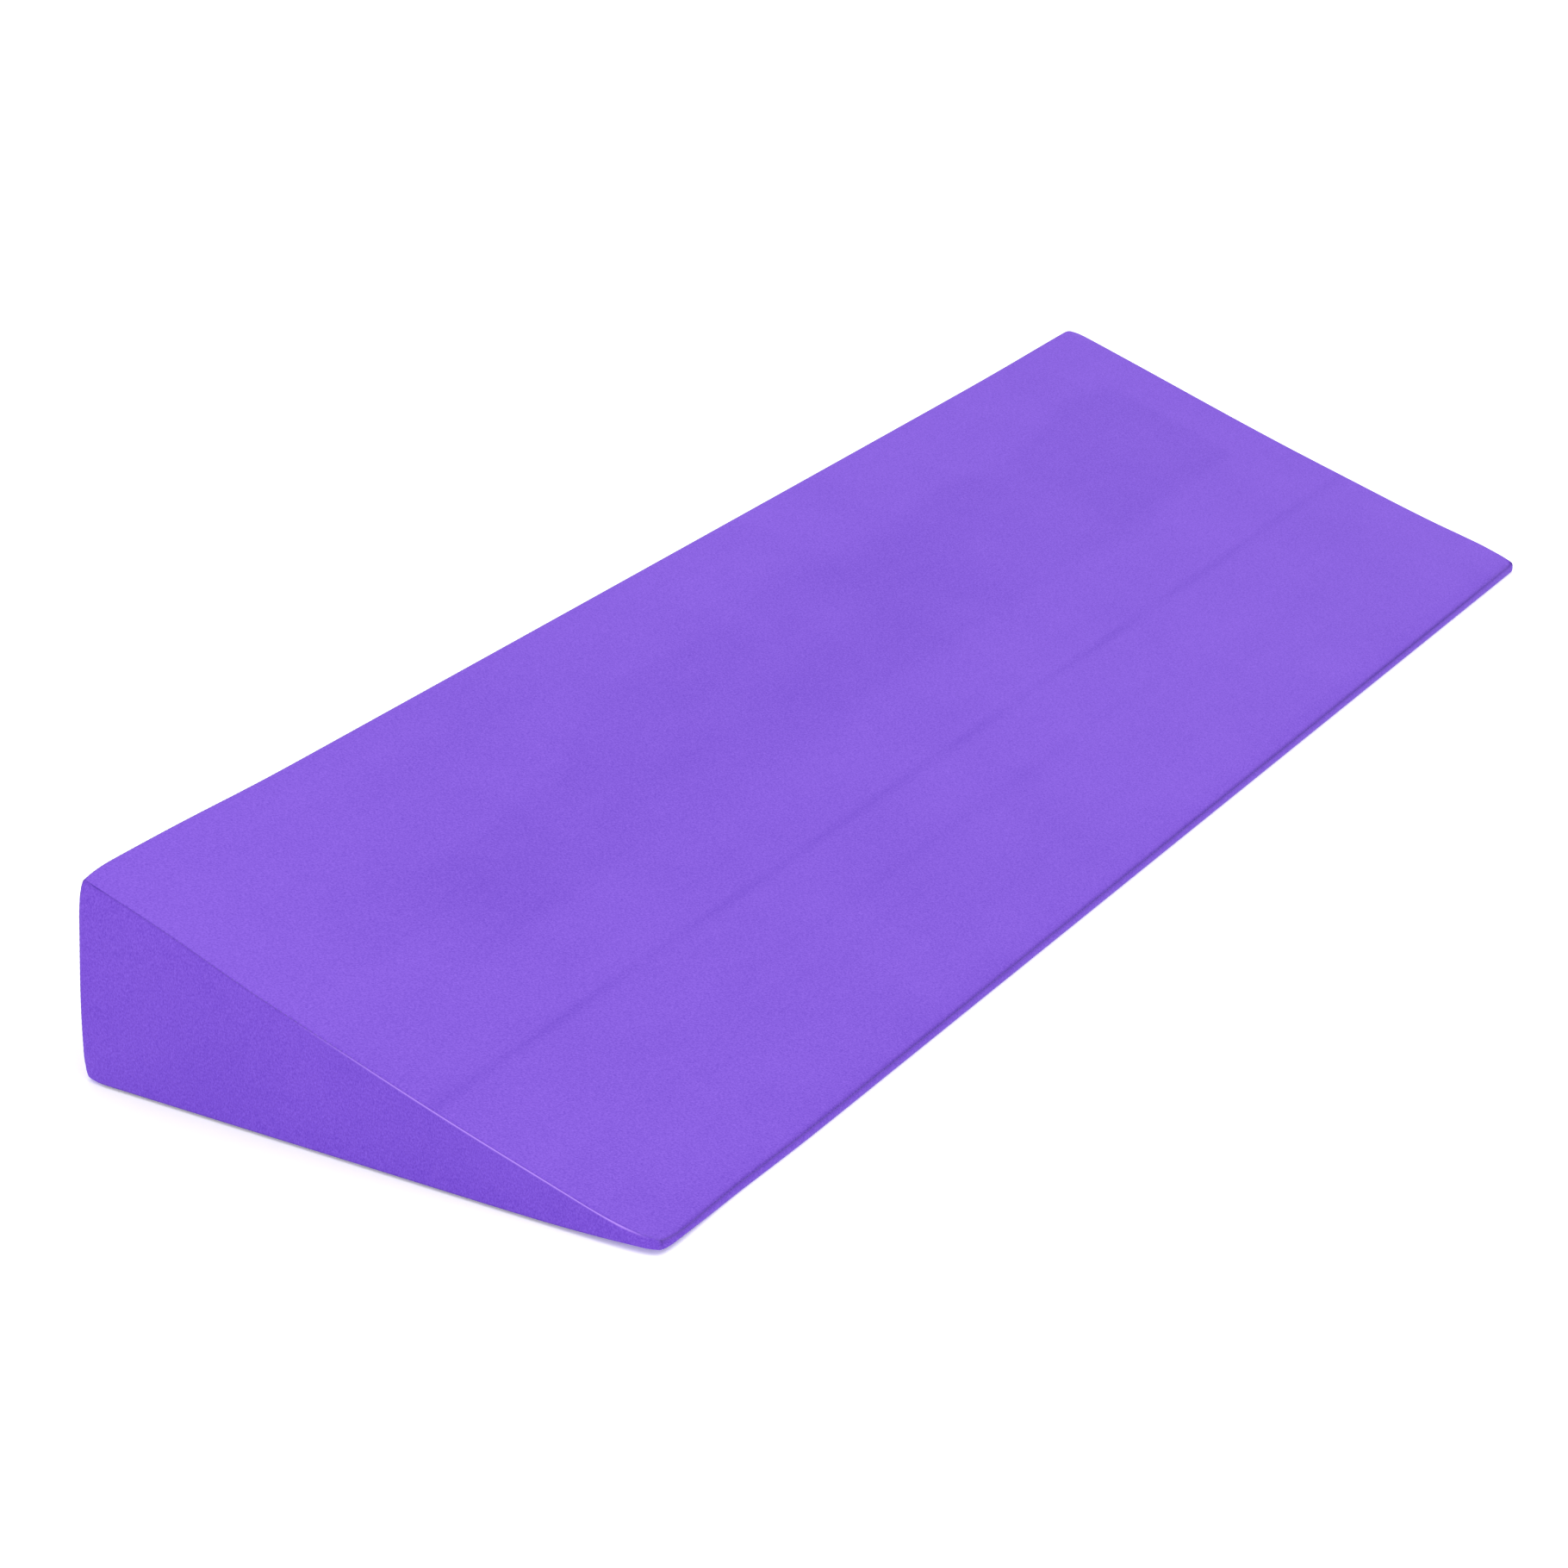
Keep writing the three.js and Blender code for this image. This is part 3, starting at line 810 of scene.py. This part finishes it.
def back_strip(which):
    """A strip of the back face: a flat grid drawn over to the seams on three sides. Towards the zip it
    rises to the thickness of the hem, is pinched at each stitch of the row, and turns under."""
    upper = which == "upper"
    span = crest - fold_high if upper else fold_low
    u = spaced(mat_length, 0.3 * MM, 1.6 * MM)[:, None]
    v = spaced(span, 0.12 * MM, 3.0 * MM)[None, :]
    from_fold = v if upper else span - v
    ones = np.ones((u.size, v.size))
    z = fold_high + v if upper else v
    flat = np.stack([(left + u) * ones, back * ones, z * ones], -1)
    sides = {end: along_columns(SEAMS["back_" + end](z[0], crest)) for end in ("left", "right")}
    at_left = Edge(u * ones, sides["left"])
    at_right = Edge((mat_length - u) * ones, sides["right"])
    seam_name, corner, beyond = ("top_back", "_top", UP) if upper else ("bottom_back", "_foot", DOWN)
    at_seam = Edge((span - from_fold) * ones, down_rows(SEAMS[seam_name](u[:, 0], mat_length)), 22 * MM)
    corners = [(at_left, at_seam, "left" + corner), (at_right, at_seam, "right" + corner)]
    cloth = drawn_over(flat, [at_left, at_right, at_seam], corners)

    settled = 1 - fading(np.minimum(u, mat_length - u) * ones, 12 * MM)
    hem_ends = 3 * MM
    hem = stepped(HEM_WIDTH + hem_ends / 2 - from_fold, hem_ends)
    stitch = 0.7 + 0.3 * np.cos(math.tau * u / STITCH)
    pinch = PINCH * bell(from_fold - row_from_fold, 0.6 * MM) * stitch
    pucker = PUCKER * np.cos(math.tau * u / (2.6 * STITCH) + wandering(u, 0 * u, 90 * MM, 41)) * hem
    uneven = 0.3 * MM * wandering(u, v, 150 * MM, 42 + upper)
    uneven = uneven * (1 - fading(span - from_fold, 15 * MM)) * (1 - hem)
    out = (HEM_RISE * hem - pinch + pucker + uneven) * settled
    turned_under = (fabric + out) * rounding(from_fold, FOLD_ROUND)
    face = cloth + BACKWARD * (out - turned_under)[..., None]
    beside = [(at_left, ENDWARD["left"]), (at_right, ENDWARD["right"]), (at_seam, beyond)]
    clear_of_fold = 0.02 * MM
    under = cloth_back(cloth, BACKWARD, beside) - BACKWARD * clear_of_fold
    # Painted shade along the row of topstitching, where each stitch draws the hem in.
    painted_shade = 0.4 * bell(from_fold - row_from_fold, 0.5 * MM) * stitch
    finish = {"painted_shade": painted_shade, "painted_highlight": 0.0, "nap_and_painted_light": 0.5}
    panel = put_sheet("back_strip_" + which, face, under, purple_suede, **finish)
    sewn(panel, "back_panel_" + which)


back_strip("upper")
back_strip("lower")


# ----------------------------------------
# Seam threads and topstitching
# Spun polyester thread, a shade deeper than the suede. In the seams it is a lockstitch that only
# shows in the bottom of the groove; along the zip it lies on the hem in a row of single stitches.
# ----------------------------------------

THREAD_RADIUS = 0.24 * MM

# A stitch is down in its needle hole where its cosine, from 1 on top to -1 at the hole, is below this
NEEDLE_HOLE = -0.4


def thread_finish():
    """Twisted thread: fine slanting plies as bump, with a slight change of shade along it."""
    place = new_finish("violet_thread")
    shade = clouds(place, 9 * MM, 2.0)
    plies = clouds(drawn_out(place, (1, 4, 4), (0.5, 0.4, 0.6)), 0.3 * MM)
    colour = mixed(shade * 0.6 + plies * 0.4, (0.085, 0.030, 0.330, 1), (0.190, 0.085, 0.620, 1))
    roughness, normal = 0.6 + shade * 0.15, raised(plies, 0.08 * MM)
    return finished(place, "violet_thread", colour, roughness, normal, {"Sheen Weight": 0.15})


violet_thread = thread_finish()


def tube(line, outward, radius, sides=5):
    """A closed round tube along a line of points: a ring square to the line at each, and a pole at
    either end."""
    ahead = np.gradient(line, axis=0)
    ahead = ahead / np.linalg.norm(ahead, axis=1, keepdims=True)
    sideways = np.cross(ahead, outward)
    sideways = sideways / np.linalg.norm(sideways, axis=1, keepdims=True)
    upright = np.cross(sideways, ahead)
    turn = np.arange(sides) / sides * math.tau
    ring = np.cos(turn)[None, :, None] * sideways[:, None] + np.sin(turn)[None, :, None] * upright[:, None]
    points = np.concatenate([(line[:, None] + radius * ring).reshape(-1, 3), line[[0, -1]]])
    return points, *ring_faces(len(line), sides)


def lockstitch(name, node, line, outward, stitch, rise, dip):
    """Thread that comes up and goes down once a stitch: it stands rise above the line wherever the cosine
    of the distance along it is above the needle hole's value, and dip below the line elsewhere."""
    along = np.concatenate([[0], np.cumsum(np.linalg.norm(np.diff(line, axis=0), axis=1))])
    count = round(along[-1] / stitch)
    points_a_stitch = 6
    even = np.linspace(0, along[-1], points_a_stitch * count + 1)
    at = np.stack([np.interp(even, along, line[:, k]) for k in range(3)], -1)
    out = np.stack([np.interp(even, along, outward[:, k]) for k in range(3)], -1)
    wave = np.cos(math.tau * (even / along[-1] * count + 0.5))
    height = np.where(wave > NEEDLE_HOLE, rise, -dip)
    thread = put_mesh(name, *tube(at + out * height[:, None], out, THREAD_RADIUS), violet_thread)
    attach(thread, "cover")
    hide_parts(node)


def seam_line(name, start, end, first, second):
    """Where a straight-edged seam really lies: points along the sharp edge, moved by its lie."""
    length = np.linalg.norm(np.subtract(end, start))
    along = np.linspace(0, length, 400)
    edge = np.array(start) + (np.array(end) - np.array(start)) * (along / length)[:, None]
    outward = np.broadcast_to(-halfway(first, second), edge.shape)
    return eased_nose(edge) + sum(SEAMS[name](along, length)), outward


def seam_thread(name, line, outward):
    """A lockstitch in the bottom of a seam's groove, most of it below the cloth."""
    depth, stitch, rise, dip = 0.30 * MM, 2.8 * MM, 0.12 * MM, 0.2 * MM
    sunk_line = line - outward * depth
    lockstitch(name + "_stitches", name + "_seam_thread", sunk_line, outward, stitch, rise, dip)


seam_thread("nose", *seam_line("nose", (left, nose, nose_top), (right, nose, nose_top), UP, FORWARD))
seam_thread("top_back", *seam_line("top_back", (left, back, crest), (right, back, crest), UP, BACKWARD))
seam_thread("bottom_back", *seam_line("bottom_back", (left, back, 0), (right, back, 0), DOWN, BACKWARD))
foot_path = np.linspace(0, WRAP_PATH, 600)
foot_y, foot_z, foot_out = wrap_line(foot_path)
for end, x in (("left", left), ("right", right)):
    way = ENDWARD[end]
    seam_thread("top_" + end, *seam_line("top_" + end, (x, nose, nose_top), (x, back, crest), UP, way))
    seam_thread("back_" + end, *seam_line("back_" + end, (x, back, 0), (x, back, crest), BACKWARD, way))
    foot_edge = eased_nose(np.stack([np.full(foot_y.shape, x), foot_y, foot_z], -1))
    foot_edge = foot_edge + sum(SEAMS["bottom_" + end](foot_path, WRAP_PATH))
    seam_thread("bottom_" + end, foot_edge, (foot_out + way) / math.sqrt(2))

for which, beyond in (("upper", 1), ("lower", -1)):
    row_low, row_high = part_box("zip_stitching_" + which)
    row_z = zip_middle + beyond * (fold_high - zip_middle + row_from_fold)
    row_x = np.linspace(row_low.x, row_high.x, 50)
    row = np.stack([row_x, np.full(row_x.shape, back + HEM_RISE), np.full(row_x.shape, row_z)], -1)
    row_out = np.broadcast_to(BACKWARD, row.shape)
    lockstitch("topstitching_" + which, "zip_stitching_" + which, row, row_out, STITCH, 0.08 * MM, 0.55 * MM)


# ----------------------------------------
# Zip tapes
# Two woven polyester tapes, sewn under the hems, with a gap between them that the slider's post
# runs in. Only the strip between the two hems shows.
# ----------------------------------------

def tape_finish():
    """Woven tape: fine herringbone ribs as bump and shade, in deep violet. The ribs are a sine of the
    distance along plus the height, which turns back at each band's rim."""
    rib_pitch, band_height = 0.62 * MM, 1.6 * MM
    place = new_finish("woven_tape")
    along = place.node("SeparateXYZ", {}, {"Vector": place})
    height = place.node("SeparateXYZ", {}, {"Vector": place}, output=2)
    zigzag = height.reckon("PINGPONG", height, band_height)
    ribs = (along + zigzag) * (math.tau / rib_pitch)
    ribs = ribs.node("Math", {"operation": "SINE"}, {0: ribs}) * 0.5 + 0.5
    wear = clouds(place, 7 * MM, 3.0)
    colour = mixed(ribs * 0.7 + wear * 0.3, (0.020, 0.010, 0.055, 1), (0.065, 0.032, 0.160, 1))
    roughness = 0.75 + wear * 0.2
    return finished(place, "woven_tape", colour, roughness, raised(ribs, 0.12 * MM), {"Sheen Weight": 0.1})


woven_tape = tape_finish()


def zip_tape(which):
    """A flat closed strip, a few points across, sewn in at both end seams. It ripples very slightly
    where it is left free between the hem and the coil: a slow sine along it."""
    low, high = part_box("zip_tape_" + which)
    caught = fabric / 2
    x = np.linspace(left + caught, right - caught, 260)[:, None]
    z = np.linspace(low.z, high.z, 12)[None, :]
    free_middle, free_width = 4.4 * MM, 1.2 * MM
    ripple_height, short_wave, long_wave = 0.12 * MM, 13 * MM, 71 * MM
    free = bell(np.abs(z - zip_middle) - free_middle, free_width)
    ripple = ripple_height * np.sin(x / short_wave + 2 * np.sin(x / long_wave)) * free
    ones = np.ones((x.size, z.size))
    face = np.stack([x * ones, high.y * ones + ripple, z * ones], -1)
    under = face - BACKWARD * (high.y - low.y)
    tape = put_sheet("tape_" + which, face, under, woven_tape)
    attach(tape, "cover")
    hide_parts("zip_tape_" + which)


zip_tape("upper")
zip_tape("lower")


# ----------------------------------------
# Zip coils
# Nylon monofilament wound into two flattened coils, each sewn down along the edge of its tape. The
# heads of one stand opposite the gaps of the other.
# ----------------------------------------

COIL_PITCH = 1.3 * MM
WIRE_RADIUS = 0.30 * MM
HEAD_CLEARANCE = 0.42 * MM


def nylon_finish():
    """Satin nylon: almost black violet, a little scuffed."""
    place = new_finish("nylon_coil")
    scuffs = clouds(drawn_out(place, (4, 1, 1)), 0.8 * MM, 3.0)
    colour = mixed(scuffs, (0.012, 0.008, 0.030, 1), (0.045, 0.030, 0.095, 1))
    return finished(place, "nylon_coil", colour, 0.28 + scuffs * 0.25, raised(scuffs, 0.03 * MM), {})


nylon_coil = nylon_finish()


def zip_coil(which, beyond):
    """A helix flattened to an oval, carried along X: its head reaches in to the clearance from the
    middle line, and its heel out to the CAD coil's edge."""
    low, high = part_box("zip_coil_" + which)
    heel = max(abs(low.z - zip_middle), abs(high.z - zip_middle)) - WIRE_RADIUS
    head = HEAD_CLEARANCE + WIRE_RADIUS
    turns = round((high.x - low.x - 2 * WIRE_RADIUS) / COIL_PITCH)
    points_a_turn = 8
    turn = np.linspace(0, turns * math.tau, points_a_turn * turns + 1) + (math.pi if which == "lower" else 0)
    x = np.linspace(low.x + WIRE_RADIUS, high.x - WIRE_RADIUS, turn.size)
    z = zip_middle + beyond * ((heel + head) / 2 - (heel - head) / 2 * np.cos(turn))
    middle_y, half_y = (low.y + high.y) / 2, (high.y - low.y) / 2 - WIRE_RADIUS
    y = middle_y + half_y * np.sin(turn)
    line = np.stack([x, y, z], -1)
    along = np.broadcast_to(np.array([1.0, 0, 0]), line.shape)
    coil = put_mesh("coil_" + which, *tube(line, along, WIRE_RADIUS), nylon_coil)
    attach(coil, "cover")
    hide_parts("zip_coil_" + which)


zip_coil("upper", 1)
zip_coil("lower", -1)


# ----------------------------------------
# Stops, slider and pull tab
# Nickel-plated brass: stops crimped over the ends of the coils, a cast slider, and a stamped tab
# that hinges under the slider's crown. Their stamped and cast edges are softly rounded.
# ----------------------------------------

def nickel_finish():
    """Bright nickel plate: fine hairline scratches in the roughness and a faint warm clouding."""
    place = new_finish("nickel_plate")
    hairlines = clouds(drawn_out(place, (12, 1, 1), (0, 0.2, 0)), 0.35 * MM, 2.0)
    haze = clouds(place, 4 * MM, 3.0)
    colour = mixed(haze, (0.56, 0.54, 0.50, 1), (0.68, 0.67, 0.64, 1))
    roughness = 0.18 + hairlines * 0.22
    return finished(place, "nickel_plate", colour, roughness, raised(hairlines, 0.02 * MM), {"Metallic": 1.0})


nickel_plate = nickel_finish()


def eased(name, node, body, radius):
    """A copy of a metal part's CAD shape, its doubled points merged and its sharp edges rounded."""
    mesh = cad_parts[node].data.copy()
    part = bpy.data.objects.new(name, mesh)
    bpy.context.scene.collection.objects.link(part)
    surface = bmesh.new()
    surface.from_mesh(mesh)
    bmesh.ops.remove_doubles(surface, verts=surface.verts, dist=0.001 * MM)
    bmesh.ops.dissolve_limit(surface, angle_limit=math.radians(1), verts=surface.verts, edges=surface.edges)
    surface.to_mesh(mesh)
    surface.free()
    mesh.materials.clear()
    mesh.materials.append(nickel_plate)
    mesh.polygons.foreach_set("use_smooth", np.ones(len(mesh.polygons), bool))
    bevel = part.modifiers.new("rounding", "BEVEL")
    bevel.width = radius
    bevel.segments = 3
    bevel.limit_method = "ANGLE"
    bevel.angle_limit = math.radians(35)
    bevel.harden_normals = True
    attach(part, body)
    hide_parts(node)


for stop in ("top_stop_upper", "top_stop_lower", "bottom_stop"):
    eased(stop, "zip_" + stop, "cover", 0.3 * MM)
eased("slider", "zip_slider", "slider", 0.22 * MM)
eased("pull_tab", "zip_pull_tab", "pull_tab", 0.25 * MM)


# ----------------------------------------
# Care label
# A blank satin ribbon, caught by its top end in the seam along the crest of the back, and hanging
# free below it near the right end. It carries no print.
# ----------------------------------------

def ribbon_finish():
    """White satin ribbon: a fine warp along its length, in its colour, its gloss and as bump."""
    place = new_finish("satin_ribbon")
    warp = clouds(drawn_out(place, (1, 1, 30)), 0.3 * MM, 2.0)
    soil = clouds(place, 15 * MM, 2.0)
    colour = mixed(warp * 0.5 + soil * 0.5, (0.54, 0.54, 0.56, 1), (0.72, 0.72, 0.72, 1))
    roughness = 0.45 + warp * 0.2
    return finished(place, "satin_ribbon", colour, roughness, raised(warp, 0.04 * MM), {"Sheen Weight": 0.2})


def care_label():
    """A sheet that comes out of the seam and hangs down: it stands off the back by the square of the
    distance down, twists a little and has a slight wave across its foot."""
    low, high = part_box("care_label")
    across = np.linspace(low.x, high.x, 24)[:, None]
    down = np.linspace(0, 1, 40)[None, :]
    ones = np.ones((across.size, down.size))
    top = crest - 0.6 * MM
    z = top + (low.z - top) * down
    share = (across - low.x) / (high.x - low.x)
    stand_off, swing_out, wave, thickness = 0.5 * MM, 1.7 * MM, 0.5 * MM, 0.25 * MM
    caught_depth, caught_share = 0.9 * MM, 0.05
    off = stand_off + swing_out * down**2 + wave * down * np.sin(math.pi * share * 1.3 + 0.4)
    tucked = (caught_depth + off) * fading(down, caught_share)
    y = back + off - tucked
    face = np.stack([across * ones, y * ones, z * ones], -1)
    under = face - BACKWARD * thickness
    label = put_sheet("blank_label", face, under, ribbon_finish())
    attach(label, "cover")
    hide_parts("care_label")


care_label()


# ----------------------------------------
# Floor, light and camera
# A plain white floor under an even white sky, with one broad soft lamp over the low side.
# ----------------------------------------

def floor_finish():
    """Matt white board, faintly lit through from below, with the faintest clouding."""
    place = new_finish("pale_floor")
    tone = clouds(place, 0.7, 2.0)
    colour = mixed(tone, (0.95, 0.95, 0.95, 1), (0.96, 0.96, 0.96, 1))
    sockets = {"Specular IOR Level": 0.1, "Emission Color": (1, 1, 1, 1), "Emission Strength": 0.22}
    return finished(place, "pale_floor", colour, 0.8 + tone * 0.1, raised(tone, 0.1 * MM), sockets)


def floor():
    """A broad slab whose top is the ground the mat stands on."""
    half, thick = 12.0, 0.02
    rows = np.array([-half, half])
    grid = np.stack(np.meshgrid(rows, rows, indexing="ij"), -1)
    top = np.concatenate([grid, np.zeros((2, 2, 1))], -1)
    slab = put_sheet("floor", top, top + DOWN * thick, floor_finish())
    slab.data.polygons.foreach_set("use_smooth", np.zeros(len(slab.data.polygons), bool))


floor()

world = bpy.data.worlds.new("studio")
world.use_nodes = True
world.node_tree.nodes["Background"].inputs["Color"].default_value = (1, 1, 1, 1)
world.node_tree.nodes["Background"].inputs["Strength"].default_value = 1.0
bpy.context.scene.world = world


def soft_lamp(name, place, aim, size, power):
    """A square lamp of this size and power, facing its aim."""
    data = bpy.data.lights.new(name, "AREA")
    data.size = size
    data.energy = power
    lamp = bpy.data.objects.new(name, data)
    bpy.context.scene.collection.objects.link(lamp)
    lamp.location = place
    lamp.rotation_euler = (Vector(aim) - Vector(place)).to_track_quat("-Z", "Y").to_euler()


soft_lamp("overhead_softbox", place=(-0.6, -0.6, 2.6), aim=(0, 0, 0), size=2.4, power=18)

scene = bpy.context.scene
scene.view_settings.view_transform = "Standard"


def camera():
    """Stands off the nose's left corner, at this share of the mat's length from it along each axis, and
    looks along the mat and down on it. Heading is from the mat's length towards its back, tilt is down
    from level, and roll raises the right-hand side."""
    heading, tilt, roll = math.radians(28.937), math.radians(23.200), math.radians(1.813)
    away = Vector((-1.3732, -0.8124, 0.9028))
    ahead = Vector((math.cos(heading), math.sin(heading), 0))
    forward = ahead * math.cos(tilt) + Vector((0, 0, -math.sin(tilt)))
    level = Vector((math.sin(heading), -math.cos(heading), 0))
    across = level * math.cos(roll) + level.cross(forward) * math.sin(roll)
    data = bpy.data.cameras.new("camera")
    data.sensor_width = 36
    data.lens = 99.3693
    data.clip_end = 60
    eye = bpy.data.objects.new("camera", data)
    scene.collection.objects.link(eye)
    axes = Matrix((across, across.cross(forward), -forward)).transposed()
    place = away * mat_length + Vector((left, nose, 0))
    eye.matrix_world = Matrix.Translation(place) @ axes.to_4x4()
    scene.camera = eye


camera()
